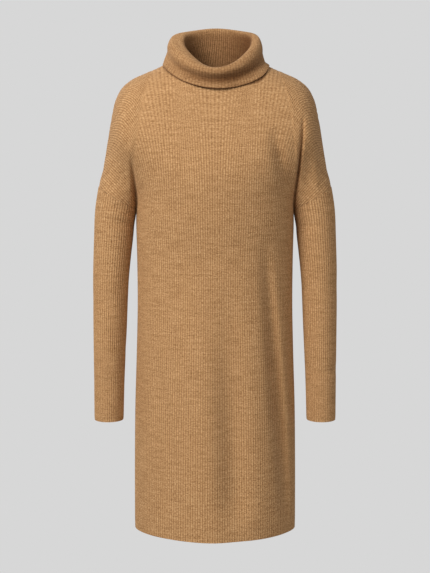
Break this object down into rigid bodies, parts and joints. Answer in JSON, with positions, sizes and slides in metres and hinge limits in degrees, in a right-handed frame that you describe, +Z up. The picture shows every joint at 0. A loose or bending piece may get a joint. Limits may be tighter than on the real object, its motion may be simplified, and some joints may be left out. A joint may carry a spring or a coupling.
{
  "type": "sweater dress",
  "caption": "Rib-knit sweater dress in worn form, with dropped shoulders, long slim sleeves and a tall collar folded outwards.",
  "frame": {"origin": "middle of the neck, level with the high points of the shoulders, where the wearer's shoulders hold the dress up", "axes": "+Z up along the dress, -Y towards its front, +X towards the wearer's left side"},
  "size_m": [0.4766, 0.2455, 0.9833],
  "materials": {
    "camel_rib_knit": "soft camel melange rib knit with a slight nap, matt"
  },
  "bodies": {
    "root": {"front_panel": "camel_rib_knit", "back_panel": "camel_rib_knit", "left_sleeve": "camel_rib_knit", "right_sleeve": "camel_rib_knit", "roll_collar": "camel_rib_knit"}
  },
  "joints": []
}
